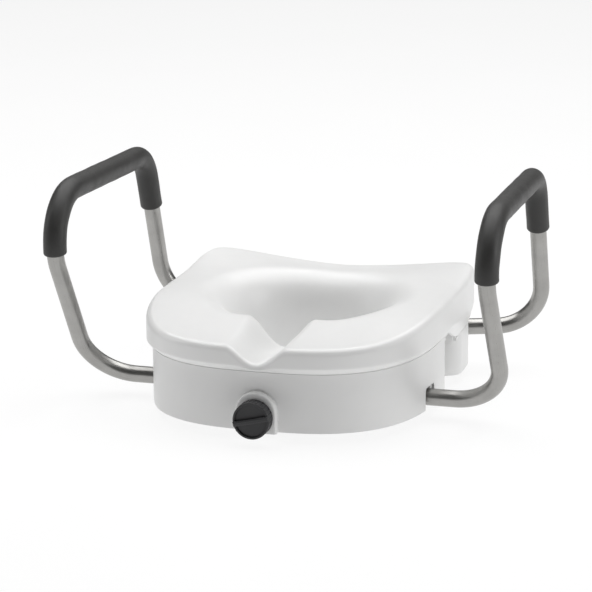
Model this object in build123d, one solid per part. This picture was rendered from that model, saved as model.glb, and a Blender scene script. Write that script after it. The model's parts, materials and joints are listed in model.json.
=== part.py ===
from build123d import *
import os
from math import acos, cos, pi, radians, sin, tan

# Raised toilet seat with padded arms and a front bowl clamp. Millimetres, +Z up, front towards -Y.
# Everything is drawn with z = 0 on the underside that rests on the bowl rim and x = 0 on the plane
# of symmetry. The finished parts are then moved so that the origin is the middle of the footprint,
# level with the lowest feet.

# ---------- seat top, a moulded shell ----------
CENTRE_Y = 15.0            # widest point of the plan, and the centre that outlines are measured from
CAP_HALF_WIDTH = 194.0
CAP_FRONT = 227.0          # centre to front edge
CAP_REAR = 190.0           # centre to rear edge
FRONT_POWER = 2.8          # superellipse powers: round front, nearly square rear
REAR_POWER = 9.0
CAP_WALL = 4.0
SHOULDER = 9.0             # rounding between the outer wall and the sitting surface
FRONT_SEAM_Z = 77.0        # where the seat top meets the base, round the front drum
REAR_SEAM_Z = 58.0         # and round the rear block
SEAM_GAP = 0.3
FRONT_TAPER = 9.0          # height of the drawn-in band above the seam
REAR_TAPER = 28.0
FRONT_CREST_Z = 111.0
SIDE_CREST_Z = 127.0
REAR_CORNER_Z = 134.0
REAR_MIDDLE_Z = 117.0
HOLE_HALF_WIDTH = 100.0    # inside the splash wall
HOLE_FRONT = 92.0
HOLE_REAR = 98.0
FLARE_WIDTH = 48.0         # the sitting surface rolls over this far into the basin
FLARE_DEPTH = 60.0
CHANNEL_FLARE_WIDTH = 21.0 # the same roll where the drain channel opens into the basin
CHANNEL_FLARE_DEPTH = 6.5
LIP_Z = 8.0                # bottom of the splash wall inside the opening
CHANNEL_HALF_WIDTH = 40.0  # drain channel through the front
CHANNEL_WIDENING = 6.0
CHANNEL_ROUNDNESS = 0.8    # under 1 makes the channel's floor broader
CHANNEL_FRONT_Z = 88.5
CHANNEL_INNER_Z = 78.5
CAP_ANGLES = (0, 1, 3, 6, 9, 12, 16, 20, 25, 31, 38, 47, 58, 70, 82, 92, 102, 111, 118, 124, 129,
              133, 137, 141, 145, 151, 158, 166, 174, 179, 180)

# ---------- base, a moulded shell ----------
DRUM_HALF_WIDTH = 187.0
DRUM_FRONT = 218.0
BLOCK_HALF_WIDTH = 187.0
BLOCK_REAR = 185.0
WALL = 3.5
WAIST_X = 150.0            # the sides draw in between the front drum and the rear block
WAIST_FRONT_Y = 28.0
WAIST_REAR_Y = 92.0
DRUM_CORNER = 12.0
BLOCK_CORNER = 22.0
DECK_TOP_Z = 73.0
DECK_Z = 69.5
COLLAR_GAP = 2.5           # between the splash wall and the edge of the deck
COLLAR_Z = 58.0
INSET = 4.6                # the rear rim stands this far inside the outline, under the seat top
RIB = 3.0
RIB_Z = 1.0
RIB_ANGLES = (22, 42, 86, 110, 130, 168)
PAD_ANGLES = (42, 130)
PAD_RADIUS_FROM_CENTRE = 154.0
PAD_R = 9.0
PAD_THICK = 4.0
SHELL_SCREWS = ((35, 165), (81, 156), (106, 147), (152, 170))   # angle and radius, each side

# ---------- arms ----------
TUBE_R = 11.1
TUBE_WALL = 1.6
GRIP_R = 15.25
FRONT_FOOT = (283.0, -50.0, 14.0)
KNEE = (283.0, -165.0, 200.0)
TOP_FRONT = (284.0, -146.0, 275.0)
TOP_REAR = (275.5, 155.0, 267.0)
REAR_FOOT = (274.0, 229.0, 42.0)
FOOT_BEND = 66.0
KNEE_BEND = 55.0
TOP_FRONT_BEND = 66.0
TOP_REAR_BEND = 47.0
REAR_FOOT_BEND = 58.0
FRONT_TUBE_END_X = 136.0
REAR_RUN = 203.0           # from the rear foot's corner to the end of the tube
REAR_TOE = 20.0            # degrees that the rear foot runs forward as it goes in
GRIP_REAR_Z = 189.0
NOTCH_HALF_WIDTH = 16.0
NOTCH_ROUND = 5.0
FRONT_NOTCH_RISE = 4.4     # room above the tube in the wall's notch
REAR_NOTCH_RISE = 2.0
PASSAGE = (-60.0, 80.0)    # inner and outer reach of the room for a tube, from its strap
CRADLE_GAP = 0.2
CRADLE_HALF = 17.0
STRAP = (20.0, 50.0, 2.4)
STRAP_SCREW_Y = 19.0
FRONT_STRAP_X = 163.0
REAR_STRAP_BACK = 176.0    # from the rear foot's corner along the tube

# ---------- bowl clamp ----------
SCREW_Z = 21.0
SCREW_R = 5.0
FIT = 0.05                 # running clearance on the radius
BOSS_HALF_WIDTH = 27.0
BOSS_TOP_Z = 53.0
BOSS_FACE_Y = -213.0
BOSS_INNER_Y = -190.0
KNOB_R = 23.8
KNOB_REAR_Y = -214.5
KNOB_FACE_Y = -229.5
RIM_FACE_Y = -232.0
KNOB_GRIP_Y = -235.0
GRIP_TILT = 13.0           # degrees at which the knob's grip bar stands
SCREW_END_Y = -97.0
FOOT_DROP = 14.0           # the jaw and the rear hooks reach this far below the bowl's top
JAW_Y = (-118.0, -98.0)    # front and back of the jaw's body when fully open
JAW_HALF_WIDTH = 17.0
JAW_TOP_Z = 38.0
FOOT_TOP_Z = 9.0
FOOT_HALF_WIDTH = 22.0
FOOT_THICK = 7.0
JAW_PAD = 3.0
NUT = (17.0, 8.0, 17.0)
GUIDE_Y = (-186.0, -99.0)
GUIDE_GAP = 0.2
GUIDE_WALL = 3.0
HOOK_X = 58.0
HOOK_Y = 144.0
HOOK_WIDTH = 34.0
HOOK_THICK = 5.0
HOOK_FLANGE = 14.0
HOOK_PAD = 2.5


# ---------- outlines and the sitting surface ----------
def smooth(t):
    t = max(0.0, min(1.0, t))
    return t * t * (3 - 2 * t)


def oval(angle, half_width, front, rear, front_power, rear_power):
    """Distance from the plan centre to a superellipse, angle in degrees from the front."""
    s = abs(sin(radians(angle)))
    c = cos(radians(angle))
    depth = front if c > 0 else rear
    power = front_power if c > 0 else rear_power
    return ((s / half_width) ** power + (abs(c) / depth) ** power) ** (-1 / power)


def plan(angle, radius):
    """Plan position of a radius at an angle from the front."""
    return (radius * sin(radians(angle)), CENTRE_Y - radius * cos(radians(angle)))


def cap_radius(angle):
    return oval(angle, CAP_HALF_WIDTH, CAP_FRONT, CAP_REAR, FRONT_POWER, REAR_POWER)


def hole_radius(angle):
    return oval(angle, HOLE_HALF_WIDTH, HOLE_FRONT, HOLE_REAR, 2.0, 2.3)


def towards_block(angle):
    """0 round the front drum, rising to 1 round the rear block."""
    y = plan(angle, cap_radius(angle))[1]
    return smooth((y - WAIST_FRONT_Y - 2) / (WAIST_REAR_Y - WAIST_FRONT_Y))


def seam_radius(angle):
    """Outline of the base, where the seat top sits on it."""
    half_width = DRUM_HALF_WIDTH + (BLOCK_HALF_WIDTH - DRUM_HALF_WIDTH) * towards_block(angle)
    return oval(angle, half_width, DRUM_FRONT, BLOCK_REAR, FRONT_POWER, REAR_POWER)


def seam_height(angle):
    return FRONT_SEAM_Z + (REAR_SEAM_Z - FRONT_SEAM_Z) * towards_block(angle)


def pan_height(x, y):
    """The sitting surface: it rises from the front to the sides and is a saddle at the rear."""
    side = FRONT_CREST_Z + (SIDE_CREST_Z - FRONT_CREST_Z) * smooth((y + 205) / 181)
    across = min(1.0, abs(x) / 178) ** 1.5
    rear = REAR_MIDDLE_Z + (REAR_CORNER_Z - REAR_MIDDLE_Z) * across
    return side + (rear - side) * smooth((y - 70) / 125)


def top_height(x, y):
    """The sitting surface with the drain channel through its front."""
    pan = pan_height(x, y)
    inward = max(0.0, min(1.0, (y + 205) / 113))
    floor = CHANNEL_FRONT_Z + (CHANNEL_INNER_Z - CHANNEL_FRONT_Z) * inward
    half_width = CHANNEL_HALF_WIDTH + CHANNEL_WIDENING * inward
    across = ((1 + cos(pi * min(1.0, abs(x) / half_width))) / 2) ** CHANNEL_ROUNDNESS
    return pan - (pan - floor) * across * smooth((-15 - y) / 50)


# ---------- seat top ----------
def section_runs(angle):
    """One upright section of the seat top, as runs of (radius, height) that close on each other."""
    outer = cap_radius(angle)
    inner = hole_radius(angle)
    seam = seam_radius(angle)
    seam_z = seam_height(angle)
    crest = top_height(*plan(angle, outer))
    rise = crest - seam_z
    shoulder = min(SHOULDER, 0.55 * rise)
    taper = FRONT_TAPER + (REAR_TAPER - FRONT_TAPER) * towards_block(angle)
    taper_z = seam_z + min(taper, 0.4 * rise)
    under_shoulder = max(1.0, shoulder - CAP_WALL)
    away = smooth(abs(angle) / 38)
    flare = CHANNEL_FLARE_WIDTH + (FLARE_WIDTH - CHANNEL_FLARE_WIDTH) * away
    depth = CHANNEL_FLARE_DEPTH + (FLARE_DEPTH - CHANNEL_FLARE_DEPTH) * away
    pan_out = outer - SHOULDER
    pan_in = inner + flare
    flat = [pan_out + (pan_in - pan_out) * step / 6 for step in range(6)]
    turns = [radians(22.5 * step) for step in range(5)]

    def height(r):
        return top_height(*plan(angle, r))

    over = []
    under = []
    for turn in turns[:-1]:
        r = outer - shoulder * (1 - cos(turn))
        over.append((r, height(r) - shoulder * (1 - sin(turn))))
        r = outer - CAP_WALL - under_shoulder * (1 - cos(turn))
        under.append((r, height(r) - CAP_WALL - under_shoulder * (1 - sin(turn))))
    for r in flat:
        over.append((r, height(r)))
        under.append((r - CAP_WALL / 2, height(r - CAP_WALL / 2) - CAP_WALL))
    for turn in turns:
        r = pan_in - flare * sin(turn)
        over.append((r, height(r) - depth * (1 - cos(turn))))
        r = pan_in - (flare - CAP_WALL) * sin(turn)
        under.append((r, height(r) - CAP_WALL - (depth - CAP_WALL) * (1 - cos(turn))))
    under_taper_z = min(taper_z, under[0][1] - 0.5)
    return [
        [(seam, seam_z), (outer, taper_z)],
        [(outer, taper_z), over[0]],
        over,
        [over[-1], (inner, LIP_Z)],
        [(inner, LIP_Z), (inner + CAP_WALL, LIP_Z)],
        [(inner + CAP_WALL, LIP_Z), under[-1]],
        under[::-1],
        [under[0], (outer - CAP_WALL, under_taper_z)],
        [(outer - CAP_WALL, under_taper_z), (seam - CAP_WALL, seam_z)],
        [(seam - CAP_WALL, seam_z), (seam, seam_z)],
    ]


def section_wire(angle):
    edges = []
    for run in section_runs(angle):
        points = [plan(angle, r) + (z,) for r, z in run]
        if len(points) == 2:
            edges.append(Line(*points).edge())
        else:
            edges.append(Spline(*points).edge())
    return Wire(edges)


def screw_places():
    places = []
    for angle, radius in SHELL_SCREWS:
        x, y = plan(angle, radius)
        places += [(x, y), (-x, y)]
    return places


def cylinder_z(x, y, z0, z1, radius):
    return Pos(x, y, (z0 + z1) / 2) * Cylinder(radius, z1 - z0)


def cylinder_y(x, z, y0, y1, radius):
    return Pos(x, (y0 + y1) / 2, z) * Rot(90, 0, 0) * Cylinder(radius, abs(y1 - y0))


def block(x, y, z):
    """A box from pairs of low and high coordinates."""
    size = [pair[1] - pair[0] for pair in (x, y, z)]
    middle = [(pair[1] + pair[0]) / 2 for pair in (x, y, z)]
    return Pos(*middle) * Box(*size)


def both_sides(shape):
    return [shape, mirror(shape, about=Plane.YZ)]


def make_seat_top():
    half = Solid.make_loft([section_wire(angle) for angle in CAP_ANGLES])
    top = half + mirror(half, about=Plane.YZ)
    for x, y in screw_places():
        pillar = cylinder_z(x, y, DECK_TOP_Z, top_height(x, y) - CAP_WALL / 2, 5)
        top += pillar
        top -= cylinder_z(x, y, DECK_TOP_Z - 1, DECK_TOP_Z + 18, 1.9)
    return top


# ---------- base ----------
def outline_face(radius_at, inset=0.0):
    """A flat face inside a closed outline given as radius by angle."""
    points = [plan(angle, radius_at(angle) - inset) for angle in range(0, 360, 4)]
    return make_face(Spline(*points, periodic=True))


def waisted(inset=0.0):
    """The base's outline, drawn in at the waist, and moved inwards by a wall or so."""
    face = outline_face(seam_radius, inset)
    y = (WAIST_FRONT_Y - inset, WAIST_REAR_Y + inset)
    for side in (1, -1):
        cut_x = WAIST_X - inset + 40
        face -= Pos(side * cut_x, sum(y) / 2) * Rectangle(80, y[1] - y[0])
    corners = face.vertices().filter_by(lambda v: abs(abs(v.X) - WAIST_X + inset) > 8)
    front = corners.filter_by(lambda v: abs(v.Y - y[0]) < 1)
    face = fillet(front, max(2.0, DRUM_CORNER - inset))
    corners = face.vertices().filter_by(lambda v: abs(abs(v.X) - WAIST_X + inset) > 8)
    rear = corners.filter_by(lambda v: abs(v.Y - y[1]) < 1)
    return fillet(rear, max(2.0, BLOCK_CORNER - inset))


def layer(face, z0, z1):
    return Pos(0, 0, z0) * extrude(face, z1 - z0)


def base_walls():
    front = block((-300, 300), (-300, WAIST_FRONT_Y), (0, FRONT_SEAM_Z - SEAM_GAP))
    rear = block((-300, 300), (WAIST_REAR_Y, 300), (0, 100))
    hoop = layer(waisted(), 0, FRONT_SEAM_Z) - layer(waisted(WALL), 0, FRONT_SEAM_Z)
    high = hoop & front
    low = hoop & block((-300, 300), (WAIST_FRONT_Y - 1, 300), (0, REAR_SEAM_Z - SEAM_GAP))
    plain = outline_face(seam_radius, INSET) - outline_face(seam_radius, INSET + WALL)
    rim = layer(plain, REAR_SEAM_Z - 8, DECK_TOP_Z) & rear
    ledge_face = outline_face(seam_radius, WALL - 0.5) - outline_face(seam_radius, INSET + WALL)
    ledge = layer(ledge_face, REAR_SEAM_Z - 8, REAR_SEAM_Z - 4) & rear
    between = block((-300, 300), (WAIST_FRONT_Y - 6, WAIST_REAR_Y + 1), (0, 100))
    lip = layer(plain, DECK_Z, FRONT_SEAM_Z + 3) & between
    waist = block((-WAIST_X, WAIST_X), (WAIST_FRONT_Y - 8, WAIST_REAR_Y + 8), (0, DECK_TOP_Z))
    waist -= block((WALL - WAIST_X, WAIST_X - WALL), (-300, 300), (-1, 100))
    return high + low + rim + ledge + lip + waist


def base_deck():
    hole = outline_face(hole_radius, -CAP_WALL - COLLAR_GAP)
    collar = outline_face(hole_radius, -CAP_WALL - COLLAR_GAP - 3)
    deck = layer(outline_face(seam_radius, INSET), DECK_Z, DECK_TOP_Z)
    deck += layer(outline_face(seam_radius, 1), DECK_Z, DECK_TOP_Z) & block(
        (-300, 300), (-300, WAIST_FRONT_Y - 2), (0, 100))
    deck += layer(collar, COLLAR_Z, DECK_TOP_Z)
    return deck - layer(hole, 0, 100)


def base_inside():
    """The room inside the outer walls and, above the rear seam, inside the seat top."""
    upper = outline_face(seam_radius, INSET + 0.5)
    return layer(waisted(1.0), -50, REAR_SEAM_Z - 4) + layer(upper, REAR_SEAM_Z - 4, DECK_TOP_Z - 1)


def base_ribs():
    """Upright ribs that carry the deck on the bowl's rim, with seats for the rubber pads."""
    ribs = []
    for angle in RIB_ANGLES:
        for side in (1, -1):
            heading = Pos(0, CENTRE_Y, 0) * Rot(0, 0, side * angle - 90)
            start = hole_radius(angle) + CAP_WALL + COLLAR_GAP
            ribs.append(heading * block((start, 260), (-RIB / 2, RIB / 2), (RIB_Z, DECK_TOP_Z)))
    for angle in PAD_ANGLES:
        for side in (1, -1):
            x, y = plan(side * angle, PAD_RADIUS_FROM_CENTRE)
            ribs.append(cylinder_z(x, y, PAD_THICK, 16, PAD_R))
    return ribs


def foot_frame(front):
    """Local frame of a tube's inner end: x outwards along the tube, z up, origin level with the strap."""
    if front:
        return Pos(FRONT_STRAP_X, FRONT_FOOT[1], FRONT_FOOT[2])
    back = REAR_STRAP_BACK
    x = REAR_FOOT[0] - back * cos(radians(REAR_TOE))
    y = REAR_FOOT[1] - back * sin(radians(REAR_TOE))
    return Pos(x, y, REAR_FOOT[2]) * Rot(0, 0, REAR_TOE)


def cradle(front):
    """Two plates that saddle the tube from above and the pillars for the strap's screws."""
    centre_z = (FRONT_FOOT if front else REAR_FOOT)[2]
    top = DECK_TOP_Z - 1 - centre_z
    local = []
    for x in (-15, 15):
        plate = block((x - 2, x + 2), (-CRADLE_HALF, CRADLE_HALF), (-4, top))
        local.append(plate)
    for y in (-STRAP_SCREW_Y, STRAP_SCREW_Y):
        local.append(cylinder_z(0, y, -TUBE_R, top, 5))
        local.append(block((-15, 15), (y - 1.5, y + 1.5), (0, top)))
    return [foot_frame(front) * piece for piece in local]


def tube_passage(front):
    """The space that a tube takes on its way in, open below so that the seat lowers on to it."""
    wide = TUBE_R + CRADLE_GAP
    bore = Pos(sum(PASSAGE) / 2, 0, 0) * Rot(0, 90, 0) * Cylinder(wide, PASSAGE[1] - PASSAGE[0])
    slot = block(PASSAGE, (-wide, wide), (-60, 0))
    return [foot_frame(front) * piece for piece in (bore, slot)]


def wall_notch(front):
    """The notch in the outer wall that the tube comes in through."""
    half = NOTCH_HALF_WIDTH
    rise = FRONT_NOTCH_RISE if front else REAR_NOTCH_RISE
    notch = block((10, PASSAGE[1]), (-half, half), (-80, TUBE_R + rise))
    notch = fillet(notch.edges().filter_by(Axis.X).group_by(Axis.Z)[-1], NOTCH_ROUND)
    return foot_frame(front) * notch


def strap_holes(front):
    return [foot_frame(front) * cylinder_z(0, y, -TUBE_R - 1, 8, 2.0)
            for y in (-STRAP_SCREW_Y, STRAP_SCREW_Y)]


def boss():
    """The flat-faced arch that carries the clamp's screw."""
    straight = BOSS_TOP_Z - BOSS_HALF_WIDTH
    arch = block((-BOSS_HALF_WIDTH, BOSS_HALF_WIDTH), (BOSS_FACE_Y, BOSS_INNER_Y), (0, straight))
    arch += cylinder_y(0, straight, BOSS_FACE_Y, BOSS_INNER_Y, BOSS_HALF_WIDTH)
    edges = arch.edges().filter_by(lambda e: abs(e.center().Y - BOSS_FACE_Y) < 0.01)
    return fillet(edges.filter_by(lambda e: e.center().Z > 0.5), 3)


def make_base():
    base = base_walls() + base_deck()
    inner = base_ribs()
    for piece in cradle(True) + cradle(False):
        inner += both_sides(piece)
    inside = base_inside()
    for piece in inner:
        base += piece & inside
    for front in (True, False):
        for cut in tube_passage(front) + [wall_notch(front)] + strap_holes(front):
            for side in both_sides(cut):
                base -= side
    for pad in make_rim_pads(0.0):
        base -= pad
    base += boss()
    base -= cylinder_y(0, SCREW_Z, BOSS_FACE_Y - 1, BOSS_INNER_Y + 1, 8)
    for x, y in screw_places():
        base -= cylinder_z(x, y, DECK_Z - 1, DECK_TOP_Z + 1, 2.2)
    for x, y in guide_screw_places() + hook_screw_places():
        base -= cylinder_z(x, y, DECK_Z - 1, DECK_TOP_Z + 1, 1.7)
    return base


# ---------- fasteners ----------
def pan_screw(x, y, head_z, length, radius, head_radius, head_height=3.0):
    """A pan-head screw driven upwards, its head's seat at head_z."""
    head = cylinder_z(x, y, head_z - head_height, head_z, head_radius)
    head = fillet(head.edges().group_by(Axis.Z)[0], head_height * 0.45)
    recess = block((-1.6, 1.6), (-0.45, 0.45), (-5, 1.5)) + block((-0.45, 0.45), (-1.6, 1.6), (-5, 1.5))
    head -= Pos(x, y, head_z - head_height) * recess
    return head + cylinder_z(x, y, head_z, head_z + length, radius)


def make_shell_screws():
    return [pan_screw(x, y, DECK_Z, 18, 1.9, 4.0) for x, y in screw_places()]


def guide_screw_places():
    return [(x, y) for x in (-10, 10) for y in (GUIDE_Y[0] + 10, GUIDE_Y[1] - 12)]


def hook_screw_places():
    y = HOOK_Y + HOOK_THICK + HOOK_FLANGE / 2
    return [(side * HOOK_X + x, y) for side in (1, -1) for x in (-10, 10)]


# ---------- arms ----------
def bend(before, corner, after, radius):
    """Tangent points, centre and turn of the arc that rounds a corner of the tube's centreline."""
    p = Vector(*corner)
    u = (Vector(*before) - p).normalized()
    v = (Vector(*after) - p).normalized()
    inside = acos(u.dot(v))
    reach = radius / tan(inside / 2)
    centre = p + (u + v).normalized() * (radius / sin(inside / 2))
    return p + u * reach, p + v * reach, centre, pi - inside


def arc_point(rounding, share):
    """A point part of the way round a rounded corner."""
    start, end, centre, turn = rounding
    a = (start - centre) * (sin((1 - share) * turn) / sin(turn))
    b = (end - centre) * (sin(share * turn) / sin(turn))
    return centre + a + b


def arc_edge(rounding, first=0.0, last=1.0):
    points = [arc_point(rounding, share) for share in (first, (first + last) / 2, last)]
    return ThreePointArc(*points).edge()


def rear_tube_end():
    toe = radians(REAR_TOE)
    return (REAR_FOOT[0] - REAR_RUN * cos(toe), REAR_FOOT[1] - REAR_RUN * sin(toe), REAR_FOOT[2])


def front_tube_end():
    return (FRONT_TUBE_END_X, FRONT_FOOT[1], FRONT_FOOT[2])


def arm_bends():
    route = [front_tube_end(), FRONT_FOOT, KNEE, TOP_FRONT, TOP_REAR, REAR_FOOT, rear_tube_end()]
    radii = (FOOT_BEND, KNEE_BEND, TOP_FRONT_BEND, TOP_REAR_BEND, REAR_FOOT_BEND)
    return [bend(*route[i:i + 3], radius) for i, radius in enumerate(radii)]


def ring_sweep(path, outer, inner):
    start = path.position_at(0)
    ring = Plane(origin=start, z_dir=path.tangent_at(0)) * (Circle(outer) - Circle(inner))
    return sweep(ring, path=path)


def make_arm_tube():
    bends = arm_bends()
    edges = [Line(Vector(*front_tube_end()), bends[0][0]).edge()]
    for i, rounding in enumerate(bends):
        edges.append(arc_edge(rounding))
        following = bends[i + 1][0] if i + 1 < len(bends) else Vector(*rear_tube_end())
        edges.append(Line(rounding[1], following).edge())
    return ring_sweep(Wire(edges), TUBE_R, TUBE_R - TUBE_WALL)


def make_grip():
    """The foam sleeve, from the middle of the knee round to part way down the rear post."""
    knee, top_front, top_rear, rear_foot = arm_bends()[1:]
    share = (top_rear[1].Z - GRIP_REAR_Z) / (top_rear[1].Z - rear_foot[0].Z)
    end = top_rear[1] + (rear_foot[0] - top_rear[1]) * share
    path = Wire([
        arc_edge(knee, 0.5, 1.0),
        Line(knee[1], top_front[0]).edge(),
        arc_edge(top_front),
        Line(top_front[1], top_rear[0]).edge(),
        arc_edge(top_rear),
        Line(top_rear[1], end).edge(),
    ])
    return ring_sweep(path, GRIP_R, TUBE_R)


def make_plug(front):
    """A tube end plug: a rim that covers the tube's end and a stem inside it."""
    end = Vector(*(front_tube_end() if front else rear_tube_end()))
    toe = 0 if front else REAR_TOE
    rim = Pos(-1, 0, 0) * Rot(0, 90, 0) * Cylinder(TUBE_R, 2)
    rim = fillet(rim.edges().group_by(Axis.X)[0], 1)
    stem = Pos(6, 0, 0) * Rot(0, 90, 0) * Cylinder(TUBE_R - TUBE_WALL, 12)
    hollow = Pos(7, 0, 0) * Rot(0, 90, 0) * Cylinder(TUBE_R - TUBE_WALL - 2, 14)
    return Pos(*end) * Rot(0, 0, toe) * (rim + stem - hollow)


def make_strap(front):
    """A plate under the tube that two screws pull up against the base."""
    length, width, thick = STRAP
    top = -TUBE_R - 0.1
    plate = block((-length / 2, length / 2), (-width / 2, width / 2), (top - thick, top))
    plate = fillet(plate.edges().filter_by(Axis.Z), 5)
    for y in (-STRAP_SCREW_Y, STRAP_SCREW_Y):
        plate -= cylinder_z(0, y, top - thick - 1, top + 1, 2.2)
    return foot_frame(front) * plate


def strap_screws(front):
    seat = -TUBE_R - 0.1 - STRAP[2]
    return [foot_frame(front) * pan_screw(0, y, seat, 16, 2.0, 4.2, 2.4)
            for y in (-STRAP_SCREW_Y, STRAP_SCREW_Y)]


# ---------- bowl clamp ----------
def make_knob():
    """A round knob: a raised rim, a sunk face and a grip bar across it."""
    body = cylinder_y(0, SCREW_Z, KNOB_FACE_Y, KNOB_REAR_Y, KNOB_R)
    body = fillet(body.edges().group_by(Axis.Y)[-1], 1)
    rim = cylinder_y(0, SCREW_Z, RIM_FACE_Y, KNOB_FACE_Y, KNOB_R)
    rim -= cylinder_y(0, SCREW_Z, RIM_FACE_Y - 1, KNOB_FACE_Y + 1, KNOB_R - 3)
    rim = fillet(rim.edges().group_by(Axis.Y)[0], 0.9)
    bar = block((-KNOB_R + 0.3, KNOB_R - 0.3), (KNOB_GRIP_Y, KNOB_FACE_Y), (-3.2, 3.2))
    bar = fillet(bar.edges().group_by(Axis.Y)[0], 1.8)
    knob = body + rim + Pos(0, 0, SCREW_Z) * Rot(0, -GRIP_TILT, 0) * bar
    for step in range(30):
        turned = Pos(0, 0, SCREW_Z) * Rot(0, step * 12, 0)
        knob -= turned * cylinder_y(KNOB_R + 0.9, 0, RIM_FACE_Y + 2, KNOB_REAR_Y - 2, 1.5)
    socket = Pos(0, KNOB_REAR_Y - 6, SCREW_Z) * Rot(90, 0, 0) * extrude(RegularPolygon(8, 6), 6, both=True)
    return knob - (socket & block((-20, 20), (KNOB_REAR_Y - 10, KNOB_REAR_Y), (0, 60)))


def make_knob_insert():
    """A hexagonal metal insert in the knob's back, fixed on the end of the screw."""
    prism = Pos(0, KNOB_REAR_Y - 6, SCREW_Z) * Rot(90, 0, 0) * extrude(RegularPolygon(8, 6), 6, both=True)
    prism &= block((-20, 20), (KNOB_REAR_Y - 10, KNOB_REAR_Y), (0, 60))
    return prism - cylinder_y(0, SCREW_Z, KNOB_REAR_Y - 8, KNOB_REAR_Y + 1, SCREW_R)


CLIP_Y = BOSS_INNER_Y + 0.3


def make_screw():
    rod = cylinder_y(0, SCREW_Z, KNOB_REAR_Y - 8, SCREW_END_Y, SCREW_R)
    rod = chamfer(rod.edges().group_by(Axis.Y)[-1], 0.8)
    groove = cylinder_y(0, SCREW_Z, CLIP_Y, CLIP_Y + 1.2, SCREW_R + 1)
    return rod - (groove - cylinder_y(0, SCREW_Z, CLIP_Y - 1, CLIP_Y + 3, SCREW_R - 1))


def make_retaining_clip():
    clip = cylinder_y(0, SCREW_Z, CLIP_Y, CLIP_Y + 1.2, 8.5)
    clip -= cylinder_y(0, SCREW_Z, CLIP_Y - 1, CLIP_Y + 3, SCREW_R - 1)
    return clip - block((-3, 3), (CLIP_Y - 1, CLIP_Y + 3), (SCREW_Z - 12, SCREW_Z))


def make_washer():
    disc = cylinder_y(0, SCREW_Z, KNOB_REAR_Y, BOSS_FACE_Y - 0.1, 11)
    return disc - cylinder_y(0, SCREW_Z, KNOB_REAR_Y - 1, BOSS_FACE_Y + 1, SCREW_R)


def make_bush():
    sleeve = cylinder_y(0, SCREW_Z, BOSS_FACE_Y, BOSS_INNER_Y, 8)
    return sleeve - cylinder_y(0, SCREW_Z, BOSS_FACE_Y - 1, BOSS_INNER_Y + 1, SCREW_R + FIT)


def nut_space():
    middle = (JAW_Y[0] + JAW_Y[1]) / 2
    return Pos(0, middle, SCREW_Z) * Box(*NUT)


def make_jaw():
    """The clamp's sliding jaw: a carriage on the screw and a foot that hooks inside the bowl's rim."""
    carriage = block((-JAW_HALF_WIDTH, JAW_HALF_WIDTH), JAW_Y, (FOOT_TOP_Z, JAW_TOP_Z))
    foot = block((-FOOT_HALF_WIDTH, FOOT_HALF_WIDTH), (JAW_Y[0], JAW_Y[0] + FOOT_THICK),
                 (-FOOT_DROP, FOOT_TOP_Z))
    foot = fillet(foot.edges().filter_by(Axis.Y).group_by(Axis.Z)[0], 6)
    jaw = carriage + foot
    for x in (-12, 0, 12):
        rib = Plane.YZ * make_face(Polyline(
            (JAW_Y[0] + 1, FOOT_TOP_Z + 1), (JAW_Y[1], FOOT_TOP_Z + 1),
            (JAW_Y[0] + FOOT_THICK, -FOOT_DROP + 3), (JAW_Y[0] + 1, -FOOT_DROP + 3), close=True))
        jaw += Pos(x, 0, 0) * extrude(rib, 1.5, both=True)
    jaw -= nut_space()
    return jaw - cylinder_y(0, SCREW_Z, JAW_Y[0] - 1, JAW_Y[1] + 1, SCREW_R + 0.6)


def make_jaw_nut():
    return nut_space() - cylinder_y(0, SCREW_Z, JAW_Y[0] - 1, JAW_Y[1] + 1, SCREW_R + FIT)


def make_jaw_pad():
    pad = block((-18, 18), (JAW_Y[0] - JAW_PAD, JAW_Y[0]), (1.5 - FOOT_DROP, -1.5))
    pad = fillet(pad.edges().filter_by(Axis.Y), 2.5)
    return fillet(pad.edges().group_by(Axis.Y)[0], 0.8)


def make_guide():
    """An upturned channel under the deck that keeps the jaw from turning with the screw."""
    inside = JAW_HALF_WIDTH + GUIDE_GAP
    outside = inside + GUIDE_WALL
    channel = block((-outside, outside), GUIDE_Y, (FOOT_TOP_Z + 1, DECK_Z))
    channel -= block((-inside, inside), (-300, 0), (0, DECK_Z - GUIDE_WALL))
    for x, y in guide_screw_places():
        channel -= cylinder_z(x, y, DECK_Z - GUIDE_WALL - 1, DECK_Z + 1, 2.0)
    return channel


def make_guide_screws():
    return [pan_screw(x, y, DECK_Z - GUIDE_WALL, 6, 1.7, 3.5, 2.4) for x, y in guide_screw_places()]


def make_hook():
    """A rear flange that hangs inside the bowl's rim, on the +x side."""
    x = (HOOK_X - HOOK_WIDTH / 2, HOOK_X + HOOK_WIDTH / 2)
    blade = block(x, (HOOK_Y, HOOK_Y + HOOK_THICK), (-FOOT_DROP, DECK_Z))
    blade = fillet(blade.edges().filter_by(Axis.Y).group_by(Axis.Z)[0], 6)
    flange = block(x, (HOOK_Y, HOOK_Y + HOOK_THICK + HOOK_FLANGE), (DECK_Z - 3, DECK_Z))
    hook = blade + flange
    for rib_x in (x[0] + 1.5, HOOK_X, x[1] - 1.5):
        side = Plane.YZ * make_face(Polyline(
            (HOOK_Y + 1, DECK_Z - 1), (HOOK_Y + HOOK_THICK + HOOK_FLANGE, DECK_Z - 1),
            (HOOK_Y + HOOK_THICK, DECK_Z - 32), (HOOK_Y + 1, DECK_Z - 32), close=True))
        hook += Pos(rib_x, 0, 0) * extrude(side, 1.5, both=True)
    for place_x, place_y in hook_screw_places():
        hook -= cylinder_z(place_x, place_y, DECK_Z - 4, DECK_Z + 1, 2.0)
        hook -= cylinder_z(place_x, place_y, DECK_Z - 20, DECK_Z - 3, 4.0)
    return hook


def make_hook_screws():
    return [pan_screw(x, y, DECK_Z - 3, 6, 1.7, 3.5, 2.4) for x, y in hook_screw_places()]


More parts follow.
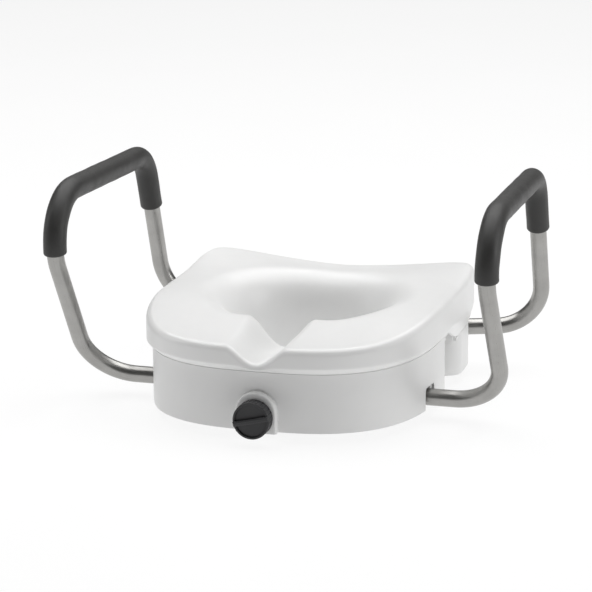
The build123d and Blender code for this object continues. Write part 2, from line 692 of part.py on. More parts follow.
def make_hook_pad():
    back = HOOK_Y + HOOK_THICK
    pad = block((HOOK_X - 14, HOOK_X + 14), (back, back + HOOK_PAD), (1.5 - FOOT_DROP, -1.5))
    pad = fillet(pad.edges().filter_by(Axis.Y), 2.5)
    return fillet(pad.edges().group_by(Axis.Y)[-1], 0.8)


def make_rim_pads(rounding=1.0):
    pads = []
    for angle in PAD_ANGLES:
        for side in (1, -1):
            x, y = plan(side * angle, PAD_RADIUS_FROM_CENTRE)
            pad = cylinder_z(x, y, 0, PAD_THICK, PAD_R)
            pads.append(fillet(pad.edges().group_by(Axis.Z)[0], rounding) if rounding else pad)
    return pads


# ---------- assembly ----------
def make_nodes():
    nodes = {
        "seat_top": make_seat_top(),
        "base_shell": make_base(),
        "shell_screws": make_shell_screws(),
        "rim_pads": make_rim_pads(),
        "clamp_knob": make_knob(),
        "knob_insert": make_knob_insert(),
        "clamp_screw": make_screw(),
        "retaining_clip": make_retaining_clip(),
        "thrust_washer": make_washer(),
        "screw_bush": make_bush(),
        "clamp_jaw": make_jaw(),
        "jaw_nut": make_jaw_nut(),
        "jaw_pad": make_jaw_pad(),
        "jaw_guide": make_guide(),
        "guide_screws": make_guide_screws(),
        "hook_screws": make_hook_screws(),
    }
    paired = {
        "arm_tube": make_arm_tube(),
        "grip": make_grip(),
        "front_plug": make_plug(True),
        "rear_plug": make_plug(False),
        "front_strap": make_strap(True),
        "rear_strap": make_strap(False),
        "rear_hook": make_hook(),
        "hook_pad": make_hook_pad(),
    }
    for name, right in paired.items():
        nodes[name + "_right"] = right
        nodes[name + "_left"] = mirror(right, about=Plane.YZ)
    screws = strap_screws(True) + strap_screws(False)
    nodes["strap_screws"] = [side for screw in screws for side in both_sides(screw)]
    return nodes


def solids_of(shape):
    shapes = shape if isinstance(shape, list) else [shape]
    return [solid for item in shapes for solid in item.solids()]


def main():
    os.makedirs("parts", exist_ok=True)
    nodes = {name: Compound(solids_of(shape)) for name, shape in make_nodes().items()}
    front = nodes["clamp_knob"].bounding_box().min.Y
    rear = nodes["arm_tube_right"].bounding_box().max.Y
    to_origin = Location((0, -(front + rear) / 2, FOOT_DROP))
    for name, shape in nodes.items():
        export_step(shape.moved(to_origin), f"parts/{name}.step")
    print("footprint middle moved by", round(-(front + rear) / 2, 3))


main()
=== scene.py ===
import json
from math import acos, cos, pi, radians, sin, tan

import bpy
from mathutils import Matrix, Vector, noise


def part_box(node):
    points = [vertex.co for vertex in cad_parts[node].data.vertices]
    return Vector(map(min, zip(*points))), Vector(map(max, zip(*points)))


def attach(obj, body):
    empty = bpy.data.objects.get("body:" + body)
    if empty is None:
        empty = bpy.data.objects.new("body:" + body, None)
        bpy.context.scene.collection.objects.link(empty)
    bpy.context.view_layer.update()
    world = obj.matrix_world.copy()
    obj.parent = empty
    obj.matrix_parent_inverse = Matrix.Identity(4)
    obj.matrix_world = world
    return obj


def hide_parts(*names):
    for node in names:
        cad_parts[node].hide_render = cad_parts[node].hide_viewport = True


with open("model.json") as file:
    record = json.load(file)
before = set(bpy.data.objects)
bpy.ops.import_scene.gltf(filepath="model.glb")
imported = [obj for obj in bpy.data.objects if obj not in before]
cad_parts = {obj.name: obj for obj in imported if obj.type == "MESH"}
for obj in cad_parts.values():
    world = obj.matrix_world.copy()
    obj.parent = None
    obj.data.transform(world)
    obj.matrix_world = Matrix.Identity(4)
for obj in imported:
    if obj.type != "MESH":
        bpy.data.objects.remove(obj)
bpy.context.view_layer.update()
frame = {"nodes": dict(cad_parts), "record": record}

# ---------- the seat top's drawing, in millimetres, as in the CAD source ----------
CENTRE_Y = 15.0
CAP = {"half_width": 194.0, "front": 227.0, "rear": 190.0,
       "front_power": 2.8, "rear_power": 9.0}
HOLE = {"half_width": 100.0, "front": 92.0, "rear": 98.0,
        "front_power": 2.0, "rear_power": 2.3}
DRUM_HALF_WIDTH = 187.0
BLOCK_HALF_WIDTH = 187.0
DRUM_FRONT = 218.0
BLOCK_REAR = 185.0
WAIST_FRONT_Y = 28.0
WAIST_REAR_Y = 92.0
CAP_WALL = 4.0
SHOULDER = 9.0
FRONT_SEAM_Z = 77.0
REAR_SEAM_Z = 58.0
FRONT_TAPER = 9.0
REAR_TAPER = 28.0
FLARE_WIDTH = 48.0
FLARE_DEPTH = 60.0
CHANNEL_FLARE_WIDTH = 21.0
CHANNEL_FLARE_DEPTH = 6.5
PAN_FRONT_Z = 111.0         # sitting surface at the front, the sides and the middle of the rear
PAN_SIDE_Z = 127.0
PAN_REAR_Z = 117.0
PAN_REAR_HORN = 17.0        # how much higher the rear corners are than the rear's middle
PAN_HALF_WIDTH = 178.0
PAN_FRONT_Y = -205.0
PAN_SIDE_REACH = 181.0      # lengths over which the surface changes height
PAN_REAR_Y = 70.0
PAN_REAR_REACH = 125.0
CHANNEL_FRONT_Z = 88.5
CHANNEL_FALL = 10.0
CHANNEL_REACH = 113.0
CHANNEL_HALF_WIDTH = 40.0
CHANNEL_WIDENING = 6.0
CHANNEL_END_Y = -15.0
CHANNEL_FADE = 50.0
CHANNEL_FLARE_ANGLE = 38.0  # the basin's rim is full from this angle on
LIP_Z = 8.0
LIP_ROUND = 1.2
SEAM_ROUND = 0.7
DECK_TOP_Z = 73.0
SHELL_SCREWS = ((35, 165), (81, 156), (106, 147), (152, 170))    # angle and radius
PILLAR_R = 5.0
PILLAR_SIDES = 24
SCREW_R = 1.9
SCREW_DEPTH = 16.0

# ---------- the arms' drawing ----------
TUBE_R = 11.1
TUBE_WALL = 1.6
GRIP_R = 15.25
ROUTE = ((136, -50, 14), (283, -50, 14), (283, -165, 200), (284, -146, 275),
         (275.5, 155, 267), (274, 229, 42))
BENDS = (66, 55, 66, 47, 58)
REAR_RUN = 203.0
REAR_TOE = 20.0
GRIP_REAR_Z = 189.0

seat_low, seat_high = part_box("seat_top")
SHIFT_Y = (seat_low.y + seat_high.y) * 500 - (CENTRE_Y + (CAP["rear"] - CAP["front"]) / 2)
SHIFT_Z = seat_low.z * 1000 - LIP_Z


def at(x, y, z):
    """A point of the drawing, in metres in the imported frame."""
    return Vector((x, y + SHIFT_Y, z + SHIFT_Z)) / 1000


# ---------- mesh helpers ----------
def add_mesh(name, points, faces, material, sharp=None):
    mesh = bpy.data.meshes.new(name)
    mesh.from_pydata(points, [], faces)
    mesh.validate()
    mesh.polygons.foreach_set("use_smooth", [True] * len(mesh.polygons))
    if sharp:
        mesh.set_sharp_from_angle(angle=radians(sharp))
    mesh.materials.append(material)
    obj = bpy.data.objects.new(name, mesh)
    bpy.context.scene.collection.objects.link(obj)
    return obj


def torus_faces(rings, sides, start=0):
    """Quads over rings of points that close both ways."""
    faces = []
    for i in range(rings):
        for j in range(sides):
            a = start + i * sides + j
            b = start + i * sides + (j + 1) % sides
            c = start + (i + 1) % rings * sides + (j + 1) % sides
            d = start + (i + 1) % rings * sides + j
            faces.append((a, b, c, d))
    return faces


# ---------- seat top ----------
def smooth(t):
    t = max(0.0, min(1.0, t))
    return t * t * (3 - 2 * t)


def oval(angle, half_width, front, rear, front_power, rear_power):
    s = abs(sin(radians(angle)))
    c = cos(radians(angle))
    depth = front if c > 0 else rear
    power = front_power if c > 0 else rear_power
    return ((s / half_width) ** power + (abs(c) / depth) ** power) ** (-1 / power)


def plan(angle, radius):
    return (radius * sin(radians(angle)), CENTRE_Y - radius * cos(radians(angle)))


def towards_block(angle):
    y = plan(angle, oval(angle, **CAP))[1]
    return smooth((y - WAIST_FRONT_Y - 2) / (WAIST_REAR_Y - WAIST_FRONT_Y))


def seam_radius(angle):
    half_width = DRUM_HALF_WIDTH + (BLOCK_HALF_WIDTH - DRUM_HALF_WIDTH) * towards_block(angle)
    return oval(angle, half_width, DRUM_FRONT, BLOCK_REAR, CAP["front_power"], CAP["rear_power"])


def pan_height(x, y):
    side_rise = PAN_SIDE_Z - PAN_FRONT_Z
    side = PAN_FRONT_Z + side_rise * smooth((y - PAN_FRONT_Y) / PAN_SIDE_REACH)
    rear = PAN_REAR_Z + PAN_REAR_HORN * min(1.0, abs(x) / PAN_HALF_WIDTH) ** 1.5
    return side + (rear - side) * smooth((y - PAN_REAR_Y) / PAN_REAR_REACH)


def top_height(x, y):
    pan = pan_height(x, y)
    inward = max(0.0, min(1.0, (y - PAN_FRONT_Y) / CHANNEL_REACH))
    floor = CHANNEL_FRONT_Z - CHANNEL_FALL * inward
    half_width = CHANNEL_HALF_WIDTH + CHANNEL_WIDENING * inward
    across = ((1 + cos(pi * min(1.0, abs(x) / half_width))) / 2) ** 0.8
    return pan - (pan - floor) * across * smooth((CHANNEL_END_Y - y) / CHANNEL_FADE)


def steps(a, b, count):
    """count values from a towards b, without b."""
    return [a + (b - a) * i / count for i in range(count)]


def seat_section(angle):
    """One closed upright section of the moulded shell, as (radius, height)."""
    outer = oval(angle, **CAP)
    inner = oval(angle, **HOLE)
    seam = seam_radius(angle)
    block = towards_block(angle)
    seam_z = FRONT_SEAM_Z + (REAR_SEAM_Z - FRONT_SEAM_Z) * block

    def height(r):
        return top_height(*plan(angle, r))

    rise = height(outer) - seam_z
    shoulder = min(SHOULDER, 0.55 * rise)
    taper = min(FRONT_TAPER + (REAR_TAPER - FRONT_TAPER) * block, 0.4 * rise)
    away = smooth(abs(angle) / CHANNEL_FLARE_ANGLE)
    flare = CHANNEL_FLARE_WIDTH + (FLARE_WIDTH - CHANNEL_FLARE_WIDTH) * away
    depth = CHANNEL_FLARE_DEPTH + (FLARE_DEPTH - CHANNEL_FLARE_DEPTH) * away
    pan_in = inner + flare
    out = []
    for t in steps(0, 1, 4):                                    # rounded lower edge
        turn = t * pi / 2
        out.append((seam - SEAM_ROUND * (1 - sin(turn)), seam_z + SEAM_ROUND * (1 - cos(turn))))
    for t in steps(0, 1, 9):                                    # drawn-in band
        bow = 0.55 * t + 0.45 * sin(t * pi / 2)
        out.append((seam + (outer - seam) * bow, seam_z + SEAM_ROUND + (taper - SEAM_ROUND) * t))
    top_of_wall = height(outer) - shoulder
    for z in steps(seam_z + taper, top_of_wall, 7):             # outer wall
        out.append((outer, z))
    for turn in steps(0, pi / 2, 12):                           # shoulder
        r = outer - shoulder * (1 - cos(turn))
        out.append((r, height(r) - shoulder * (1 - sin(turn))))
    for r in steps(outer - shoulder, pan_in, 42):               # sitting surface
        out.append((r, height(r)))
    for turn in steps(0, pi / 2, 18):                           # rim of the basin
        r = pan_in - flare * sin(turn)
        out.append((r, height(r) - depth * (1 - cos(turn))))
    for z in steps(height(inner) - depth, LIP_Z + LIP_ROUND, 14):    # splash wall
        out.append((inner, z))
    for turn in steps(0, pi / 2, 5):
        out.append((inner + LIP_ROUND * (1 - cos(turn)), LIP_Z + LIP_ROUND * (1 - sin(turn))))
    for turn in steps(0, pi / 2, 5):
        out.append((inner + CAP_WALL - LIP_ROUND * (1 - sin(turn)),
                    LIP_Z + LIP_ROUND * (1 - cos(turn))))
    for z in steps(LIP_Z + LIP_ROUND, height(inner + CAP_WALL) - depth, 6):
        out.append((inner + CAP_WALL, z))
    for turn in steps(pi / 2, 0, 9):                            # underside
        r = pan_in - (flare - CAP_WALL) * sin(turn)
        out.append((r, height(r) - CAP_WALL - (depth - CAP_WALL) * (1 - cos(turn))))
    under = max(1.0, shoulder - CAP_WALL)
    for r in steps(pan_in, outer - CAP_WALL - under, 16):
        out.append((r, height(r) - CAP_WALL))
    for turn in steps(pi / 2, 0, 6):
        r = outer - CAP_WALL - under * (1 - cos(turn))
        out.append((r, height(r) - CAP_WALL - under * (1 - sin(turn))))
    under_top = height(outer - CAP_WALL) - CAP_WALL - under
    under_taper = min(seam_z + taper, under_top - 0.5)
    for z in steps(under_top, under_taper, 4):
        out.append((outer - CAP_WALL, z))
    for t in steps(0, 1, 5):
        r = outer - CAP_WALL + (seam - outer) * t
        out.append((r, under_taper + (seam_z - under_taper) * t))
    for r in steps(seam - CAP_WALL, seam - SEAM_ROUND, 3):
        out.append((r, seam_z))
    return out


def seat_angles():
    """Finer round the drain channel and the rear corners."""
    half = []
    angle = 0.0
    while angle < 179.99:
        half.append(angle)
        angle += 0.5 if angle < 32 or 124 <= angle < 147 else 1.0
    return half + [180.0] + [360 - a for a in half[:0:-1]]


def make_seat_top(material):
    angles = seat_angles()
    points = []
    sides = 0
    for angle in angles:
        section = seat_section(angle if angle <= 180 else angle - 360)
        sides = len(section)
        points += [at(*plan(angle, r), z) for r, z in section]
    faces = torus_faces(len(angles), sides)
    for angle, radius in SHELL_SCREWS:                          # screw pillars on the underside
        x, y = plan(angle, radius)
        for side in (1, -1):
            start = len(points)
            top = top_height(x, y) - CAP_WALL / 2
            loop = [(PILLAR_R, DECK_TOP_Z + 0.4), (PILLAR_R, top), (1, top),
                    (1, DECK_TOP_Z + SCREW_DEPTH + 1), (SCREW_R, DECK_TOP_Z + SCREW_DEPTH),
                    (SCREW_R, DECK_TOP_Z), (PILLAR_R - 0.4, DECK_TOP_Z)]
            for i in range(PILLAR_SIDES):
                a = 2 * pi * i / PILLAR_SIDES
                points += [at(side * x + r * cos(a), y + r * sin(a), z) for r, z in loop]
            faces += torus_faces(PILLAR_SIDES, len(loop), start)
    return add_mesh("moulded_seat_top", points, faces, material, 50)


# ---------- arms ----------
def arc(before, corner, after, radius, count):
    """Points of the tangent arc that rounds a corner, its two ends included."""
    u = (before - corner).normalized()
    v = (after - corner).normalized()
    inside = acos(u.dot(v))
    start = corner + u * (radius / tan(inside / 2))
    end = corner + v * (radius / tan(inside / 2))
    centre = corner + (u + v).normalized() * (radius / sin(inside / 2))
    turn = pi - inside
    points = []
    for i in range(count + 1):
        t = i / count
        a = (start - centre) * (sin((1 - t) * turn) / sin(turn))
        b = (end - centre) * (sin(t * turn) / sin(turn))
        points.append(centre + a + b)
    return points


def run(a, b, spacing=7.0):
    """Points between a and b, neither end included."""
    count = max(1, round((b - a).length / spacing))
    return [a.lerp(b, i / count) for i in range(1, count)]


def arm_line():
    """The tube's centreline and, for the grip, the part of it that the foam covers."""
    toe = radians(REAR_TOE)
    foot = Vector(ROUTE[-1])
    end = foot - Vector((cos(toe), sin(toe), 0)) * REAR_RUN
    corners = [Vector(p) for p in ROUTE] + [end]
    arcs = [arc(*corners[i:i + 3], radius, 24) for i, radius in enumerate(BENDS)]
    line = [corners[0]] + run(corners[0], arcs[0][0])
    for i, bend in enumerate(arcs):
        following = arcs[i + 1][0] if i + 1 < len(arcs) else end
        line += bend + run(bend[-1], following)
    line.append(end)
    rear_top, rear_low = arcs[3][-1], arcs[4][0]
    grip_end = rear_top.lerp(rear_low, (rear_top.z - GRIP_REAR_Z) / (rear_top.z - rear_low.z))
    grip = arcs[1][12:] + run(arcs[1][-1], arcs[2][0]) + arcs[2]
    grip += run(arcs[2][-1], arcs[3][0]) + arcs[3] + run(rear_top, grip_end) + [grip_end]
    return line, grip


def stations(line):
    """Distance along, position, tangent and a steady pair of normals for each point of a line."""
    tangents = []
    for i in range(len(line)):
        a, b = line[max(0, i - 1)], line[min(len(line) - 1, i + 1)]
        tangents.append((b - a).normalized())
    normal = tangents[0].orthogonal().normalized()
    out = []
    distance = 0.0
    for i, (point, tangent) in enumerate(zip(line, tangents)):
        if i:
            distance += (point - line[i - 1]).length
        normal = (normal - tangent * normal.dot(tangent)).normalized()
        out.append((distance, point, tangent, normal, tangent.cross(normal)))
    return out


def place(stops, s):
    """Position and normals at a distance along."""
    for before, after in zip(stops, stops[1:]):
        if s <= after[0]:
            break
    span = after[0] - before[0]
    t = (s - before[0]) / span
    point = before[1].lerp(after[1], t)
    normal = before[3].lerp(after[3], t).normalized()
    side = before[4].lerp(after[4], t).normalized()
    return point, normal, side


def sleeve(name, line, profile, sides, material, mirrored, wobble=0.0, sharp=None):
    """A hollow body along a line. profile is a closed loop of (distance along, radius)."""
    stops = stations(line)
    points = []
    unbent = []
    for s, radius in profile:
        point, normal, side = place(stops, s)
        for j in range(sides):
            a = 2 * pi * j / sides
            flat = Vector((cos(a) * radius, sin(a) * radius, s))
            r = radius + (wobble * noise.noise(flat * 0.045) if wobble else 0.0)
            p = point + normal * (r * cos(a)) + side * (r * sin(a))
            points.append(at(-p.x if mirrored else p.x, p.y, p.z))
            unbent.append(flat / 1000)
    faces = torus_faces(len(profile), sides)
    if mirrored:
        faces = [face[::-1] for face in faces]
    obj = add_mesh(name, points, faces, material, sharp)
    layer = obj.data.attributes.new("unbent", "FLOAT_VECTOR", "POINT")
    layer.data.foreach_set("vector", [c for v in unbent for c in v])
    return obj


def length_of(line):
    return sum((b - a).length for a, b in zip(line, line[1:]))


def tube_profile(line):
    length = length_of(line)
    stops = [s for s, *_ in stations(line)][1:-1]
    bevel = 0.35
    loop = [(0, TUBE_R - bevel), (bevel * 0.3, TUBE_R - bevel * 0.3), (bevel, TUBE_R)]
    loop += [(s, TUBE_R) for s in stops if bevel < s < length - bevel]
    loop += [(length - bevel, TUBE_R), (length - bevel * 0.3, TUBE_R - bevel * 0.3),
             (length, TUBE_R - bevel)]
    inside = TUBE_R - TUBE_WALL
    return loop + [(length, inside)] + [(s, inside) for s in stops[::-1]] + [(0, inside)]


def grip_profile(line):
    """The foam's outside with rounded ends, and its bore against the tube."""
    length = length_of(line)
    stops = [s for s, *_ in stations(line)]
    rounding = 2.6
    bore = TUBE_R + 0.05
    arc_steps = [radians(a) for a in (0, 15, 30, 45, 60, 75, 90)]
    front = [(rounding * (1 - sin(a)), GRIP_R - rounding * (1 - cos(a))) for a in arc_steps[::-1]]
    rear = [(length - rounding * (1 - sin(a)), GRIP_R - rounding * (1 - cos(a))) for a in arc_steps]
    middle = [(s, GRIP_R) for s in fine(stops, 2.5) if rounding + 1 < s < length - rounding - 1]
    loop = front + middle + rear
    return loop + [(length, bore)] + [(s, bore) for s in stops[-2:0:-1]] + [(0, bore)]


def fine(stops, spacing):
    """The distances in stops with more between them."""
    out = []
    for a, b in zip(stops, stops[1:]):
        count = max(1, round((b - a) / spacing))
        out += [a + (b - a) * i / count for i in range(count)]
    return out + [stops[-1]]


# ---------- materials ----------
class Shader:
    """A Principled material and short calls for the nodes that drive it."""

    def __init__(self, name, **values):
        self.material = bpy.data.materials.new(name)
        self.material.use_nodes = True
        self.tree = self.material.node_tree
        self.base = self.tree.nodes["Principled BSDF"]
        for key, value in values.items():
            self.base.inputs[key.replace("_", " ")].default_value = value

    def node(self, kind, **links):
        made = self.tree.nodes.new(kind)
        for key, value in links.items():
            socket = made.inputs[key.replace("_", " ")]
            if isinstance(value, bpy.types.NodeSocket):
                self.tree.links.new(value, socket)
            else:
                socket.default_value = value
        return made

    def where(self, stretch=(1, 1, 1), attribute=None):
        """Coordinates in metres on the piece, or along the straightened tube."""
        if attribute:
            source = self.tree.nodes.new("ShaderNodeAttribute")
            source.attribute_name = attribute
            vector = source.outputs["Vector"]
        else:
            vector = self.tree.nodes.new("ShaderNodeTexCoord").outputs["Object"]
        return self.node("ShaderNodeMapping", Vector=vector, Scale=stretch).outputs["Vector"]

    def noise(self, where, scale, detail=2.0, roughness=0.5, distortion=0.0):
        made = self.node("ShaderNodeTexNoise", Vector=where, Scale=scale, Detail=detail,
                         Roughness=roughness, Distortion=distortion)
        return made.outputs["Fac"]

    def cells(self, where, scale, randomness=1.0):
        made = self.node("ShaderNodeTexVoronoi", Vector=where, Scale=scale, Randomness=randomness)
        return made.outputs["Distance"]

    def spread(self, fac, low, high, start=0.0, end=1.0):
        made = self.tree.nodes.new("ShaderNodeMapRange")
        self.tree.links.new(fac, made.inputs["Value"])
        bounds = (("From Min", start), ("From Max", end), ("To Min", low), ("To Max", high))
        for key, value in bounds:
            made.inputs[key].default_value = value
        return made.outputs["Result"]

    def ramp(self, fac, *stops):
        made = self.tree.nodes.new("ShaderNodeValToRGB")
        self.tree.links.new(fac, made.inputs["Fac"])
        for i, (place_, colour) in enumerate(stops):
            stop = made.color_ramp.elements[i] if i < 2 else made.color_ramp.elements.new(place_)
            stop.position = place_
            stop.color = (*colour, 1)
        return made.outputs["Color"]

    def add(self, a, b, share):
        """a plus share times b."""
        made = self.tree.nodes.new("ShaderNodeMath")
        made.operation = "MULTIPLY_ADD"
        self.tree.links.new(b, made.inputs[0])
        made.inputs[1].default_value = share
        self.tree.links.new(a, made.inputs[2])
        return made.outputs["Value"]

    def to(self, socket, value):
        self.tree.links.new(value, self.base.inputs[socket])

    def bump(self, height, depth_mm, strength=1.0):
        """Bumps that are depth_mm high where height goes from 0 to 1."""
        made = self.node("ShaderNodeBump", Height=height, Strength=strength,
                         Distance=depth_mm / 1000)
        before = self.base.inputs["Normal"].links
        if before:
            self.tree.links.new(before[0].from_socket, made.inputs["Normal"])
        self.tree.links.new(made.outputs["Normal"], self.base.inputs["Normal"])


def tint(colour, share):
    return tuple(min(1.0, c * share) for c in colour)


def moulded_plastic(name, colour, roughness, grain_mm, grain_depth, sink=0.02, **values):
    """Moulded plastic: fine mould grain, slow waviness from cooling, and faint rubbed patches."""
    s = Shader(name, **values)
    where = s.where()
    cloud = s.noise(where, 9.0, 3.0, 0.55)
    fine_cloud = s.noise(where, 70.0, 3.0, 0.6)
    mixed = s.add(cloud, fine_cloud, 0.35)
    s.to("Base Color", s.ramp(mixed, (0.35, tint(colour, 0.975)), (0.95, tint(colour, 1.012))))
    rubbed = s.noise(where, 26.0, 4.0, 0.6, 0.4)
    s.to("Roughness", s.spread(rubbed, roughness - 0.05, roughness + 0.06, 0.3, 0.7))
    s.bump(s.noise(where, 14.0, 1.0), sink)
    s.bump(s.noise(where, 1000 / grain_mm, 2.0, 0.6), grain_depth)
    return s.material


def drawn_aluminium(name, colour):
    """Satin tube: lines along it from drawing, light cross scuffs and a cloudy anodised tone."""
    s = Shader(name, Metallic=1.0, Anisotropic=0.25)
    along = s.where((1, 1, 0.012), "unbent")
    whole = s.where((1, 1, 1), "unbent")
    lines = s.noise(along, 1500.0, 3.0, 0.65)
    tone = s.noise(whole, 30.0, 4.0, 0.6)
    mixed = s.add(tone, lines, 0.5)
    s.to("Base Color", s.ramp(mixed, (0.4, tint(colour, 0.86)), (1.0, tint(colour, 1.1))))
    scuff = s.noise(s.where((0.35, 0.35, 1.0), "unbent"), 420.0, 3.0, 0.7)
    s.to("Roughness", s.spread(s.add(lines, scuff, 0.4), 0.24, 0.4, 0.4, 1.0))
    s.bump(lines, 0.02)
    s.bump(scuff, 0.006)
    return s.material


def foam(name, colour):
    """Closed-cell foam skin: shallow cells, fine pores, a faint sheen and paler rubbed areas."""
    s = Shader(name, Sheen_Weight=0.04, Sheen_Roughness=0.4, Specular_IOR_Level=0.5)
    s.base.inputs["Sheen Tint"].default_value = (0.86, 0.85, 0.82, 1)
    where = s.where((1, 1, 1), "unbent")
    cloud = s.noise(where, 38.0, 4.0, 0.6)
    pores = s.cells(where, 1250.0)
    s.to("Base Color", s.ramp(s.add(cloud, pores, 0.3),
                              (0.3, tint(colour, 0.8)), (0.95, tint(colour, 1.25))))
    s.to("Roughness", s.spread(cloud, 0.44, 0.58, 0.3, 0.7))
    s.bump(s.noise(where, 240.0, 2.0), 0.05)
    s.bump(pores, 0.06)
    return s.material


def plated_metal(name, colour, roughness):
    """Small plated or turned parts: fine turning marks and a cloudy tone."""
    s = Shader(name, Metallic=1.0)
    where = s.where()
    cloud = s.noise(where, 160.0, 3.0, 0.6)
    marks = s.noise(s.where((1, 1, 6)), 1400.0, 2.0)
    s.to("Base Color", s.ramp(cloud, (0.3, tint(colour, 0.85)), (0.8, tint(colour, 1.1))))
    worn = s.add(cloud, marks, 0.5)
    s.to("Roughness", s.spread(worn, roughness - 0.08, roughness + 0.1, 0.4, 1.1))
    s.bump(marks, 0.01)
    return s.material


def rubber(name, colour):
    s = Shader(name, Specular_IOR_Level=0.4)
    where = s.where()
    cloud = s.noise(where, 120.0, 4.0, 0.6)
    s.to("Base Color", s.ramp(cloud, (0.3, tint(colour, 0.85)), (0.8, tint(colour, 1.2))))
    s.to("Roughness", s.spread(cloud, 0.6, 0.78, 0.3, 0.7))
    s.bump(s.noise(where, 900.0, 2.0), 0.03)
    return s.material


MATERIALS = {
    "seat_plastic": moulded_plastic("satin_white", (0.83, 0.83, 0.825), 0.36, 0.9, 0.006,
                                    Coat_Weight=0.12, Coat_Roughness=0.22),
    "base_plastic": moulded_plastic("satin_white_base", (0.81, 0.81, 0.805), 0.42, 0.9, 0.008,
                                    Coat_Weight=0.06, Coat_Roughness=0.3),
    "bracket_plastic": moulded_plastic("matt_bracket", (0.68, 0.68, 0.67), 0.52, 0.7, 0.015),
    "plug_plastic": moulded_plastic("black_plug", (0.03, 0.03, 0.031), 0.5, 0.6, 0.02),
    "nylon": moulded_plastic("natural_nylon", (0.74, 0.71, 0.62), 0.45, 0.7, 0.01,
                             Subsurface_Weight=0.1),
    "knob_plastic": moulded_plastic("charcoal_knob", (0.024, 0.024, 0.026), 0.5, 0.5, 0.02),
    "tube_aluminium": drawn_aluminium("satin_tube", (0.365, 0.36, 0.348)),
    "grip_foam": foam("black_foam", (0.026, 0.0255, 0.0245)),
    "pad_rubber": rubber("grey_rubber", (0.06, 0.06, 0.062)),
    "zinc_steel": plated_metal("zinc_plate", (0.62, 0.63, 0.65), 0.32),
    "spring_steel": plated_metal("spring_steel", (0.16, 0.16, 0.17), 0.4),
    "brass": plated_metal("brass", (0.72, 0.5, 0.2), 0.3),
}

for part in frame["record"]["subparts"]:
    node = frame["nodes"][part["node"]]
    finish = MATERIALS[part["material_slot"]]
    if not node.material_slots:
        node.data.materials.append(finish)
    for place_ in node.material_slots:
        place_.material = finish

# ---------- pieces that stand for CAD nodes ----------
top = make_seat_top(MATERIALS["seat_plastic"])
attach(top, "seat")
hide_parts("seat_top")

tube_line, grip_line = arm_line()
for side, mirrored in (("right", False), ("left", True)):
    tube = sleeve("drawn_tube_" + side, tube_line, tube_profile(tube_line), 48,
                  MATERIALS["tube_aluminium"], mirrored, sharp=40)
    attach(tube, "seat")
    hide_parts("arm_tube_" + side)
    grip = sleeve("foam_grip_" + side, grip_line, grip_profile(grip_line), 56,
                  MATERIALS["grip_foam"], mirrored, wobble=0.35, sharp=60)
    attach(grip, "seat")
    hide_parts("grip_" + side)

# ---------- stage, light and camera ----------
FLOOR_HALF = 30.0
FLOOR_GLOW = 0.87
CAMERA_ANGLES = (17.0, 14.93, -0.567)       # azimuth, elevation, roll
CAMERA_TARGET = (-10.1, 0, 122.3)           # in the drawing, millimetres
CAMERA_DISTANCE = 3.602
CAMERA_LENS = 166.56
SOFTBOXES = (                               # name, position, target, size, radiance
    ("overhead", (-0.1, 0.7, 2.6), (0, 0, 0.1), (3.8, 3.2), 2.72),
    ("right_side", (2.4, 0.1, 1.0), (0, 0, 0.1), (1.0, 1.4), 3.9),
    ("left_side", (-2.3, -0.5, 1.1), (0, 0, 0.1), (1.0, 1.2), 1.9),
)


def make_floor():
    """A wide pale floor that glows a little, so that it stays white under the soft light."""
    half = FLOOR_HALF
    s = Shader("pale_floor", Roughness=0.9)
    s.base.inputs["Emission Color"].default_value = (1, 1, 1, 1)
    cloud = s.noise(s.where(), 3.0, 3.0)
    s.to("Base Color", s.ramp(cloud, (0.2, (0.095, 0.095, 0.095)), (0.8, (0.105, 0.105, 0.105))))
    s.base.inputs["Emission Strength"].default_value = FLOOR_GLOW
    corners = [(-half, -half, 0), (half, -half, 0), (half, half, 0), (-half, half, 0)]
    floor = add_mesh("floor", corners, [(0, 1, 2, 3)], s.material)


def softbox(name, position, target, size, radiance):
    """A rectangular studio light that faces a point, with an even radiance over its face."""
    data = bpy.data.lights.new(name, "AREA")
    data.shape = "RECTANGLE"
    data.size, data.size_y = size
    data.energy = radiance * pi * size[0] * size[1]
    light = bpy.data.objects.new(name, data)
    light.location = position
    light.rotation_mode = "QUATERNION"
    light.rotation_quaternion = (Vector(target) - Vector(position)).to_track_quat("-Z", "Y")
    bpy.context.scene.collection.objects.link(light)


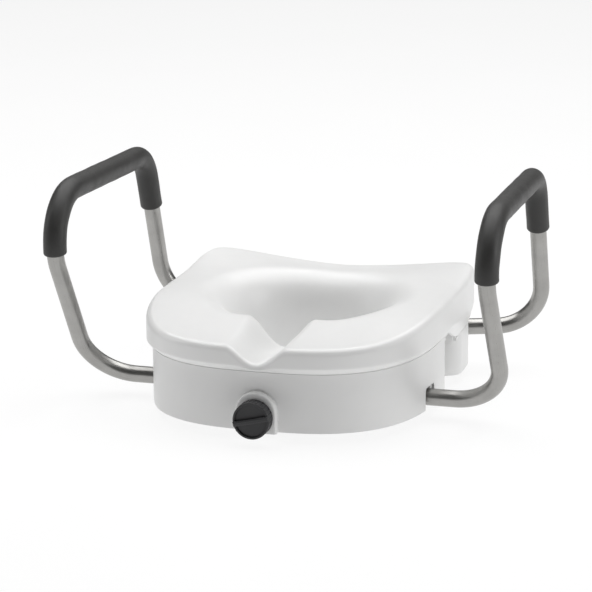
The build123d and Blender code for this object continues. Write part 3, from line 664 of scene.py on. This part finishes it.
def make_world():
    """A pale surround: bright at the horizon, dimmer overhead."""
    world = bpy.data.worlds.new("studio")
    bpy.context.scene.world = world
    world.use_nodes = True
    tree = world.node_tree
    where = tree.nodes.new("ShaderNodeTexCoord")
    split = tree.nodes.new("ShaderNodeSeparateXYZ")
    tree.links.new(where.outputs["Generated"], split.inputs["Vector"])
    ramp = tree.nodes.new("ShaderNodeValToRGB")
    tree.links.new(split.outputs["Z"], ramp.inputs["Fac"])
    ramp.color_ramp.elements[0].position = 0.02
    ramp.color_ramp.elements[0].color = (0.16, 0.16, 0.16, 1)
    ramp.color_ramp.elements[1].position = 0.3
    ramp.color_ramp.elements[1].color = (0.1, 0.1, 0.1, 1)
    mix = tree.nodes.new("ShaderNodeMix")
    mix.data_type = "RGBA"
    tree.links.new(tree.nodes.new("ShaderNodeLightPath").outputs["Is Camera Ray"], mix.inputs[0])
    tree.links.new(ramp.outputs["Color"], mix.inputs[6])
    mix.inputs[7].default_value = (1, 1, 1, 1)
    tree.links.new(mix.outputs[2], tree.nodes["Background"].inputs["Color"])


def make_camera():
    """The photograph's viewpoint: a long lens from the front, a little to the right and above."""
    azimuth, elevation, roll = (radians(a) for a in CAMERA_ANGLES)
    back = Vector((sin(azimuth) * cos(elevation), -cos(azimuth) * cos(elevation), sin(elevation)))
    level = Vector((cos(azimuth), sin(azimuth), 0))
    upright = back.cross(level)
    right = level * cos(roll) + upright * sin(roll)
    up = upright * cos(roll) - level * sin(roll)
    position = at(*CAMERA_TARGET) + back * CAMERA_DISTANCE
    data = bpy.data.cameras.new("camera")
    data.lens = CAMERA_LENS
    data.sensor_width = 36.0
    data.clip_start = 0.1
    data.clip_end = 200.0
    camera = bpy.data.objects.new("camera", data)
    turned = Matrix((right, up, back)).transposed().to_4x4()
    camera.matrix_world = Matrix.Translation(position) @ turned
    bpy.context.scene.collection.objects.link(camera)
    bpy.context.scene.camera = camera


make_floor()
make_world()
for values in SOFTBOXES:
    softbox(*values)
make_camera()
settings = bpy.context.scene.view_settings
settings.view_transform = "Standard"
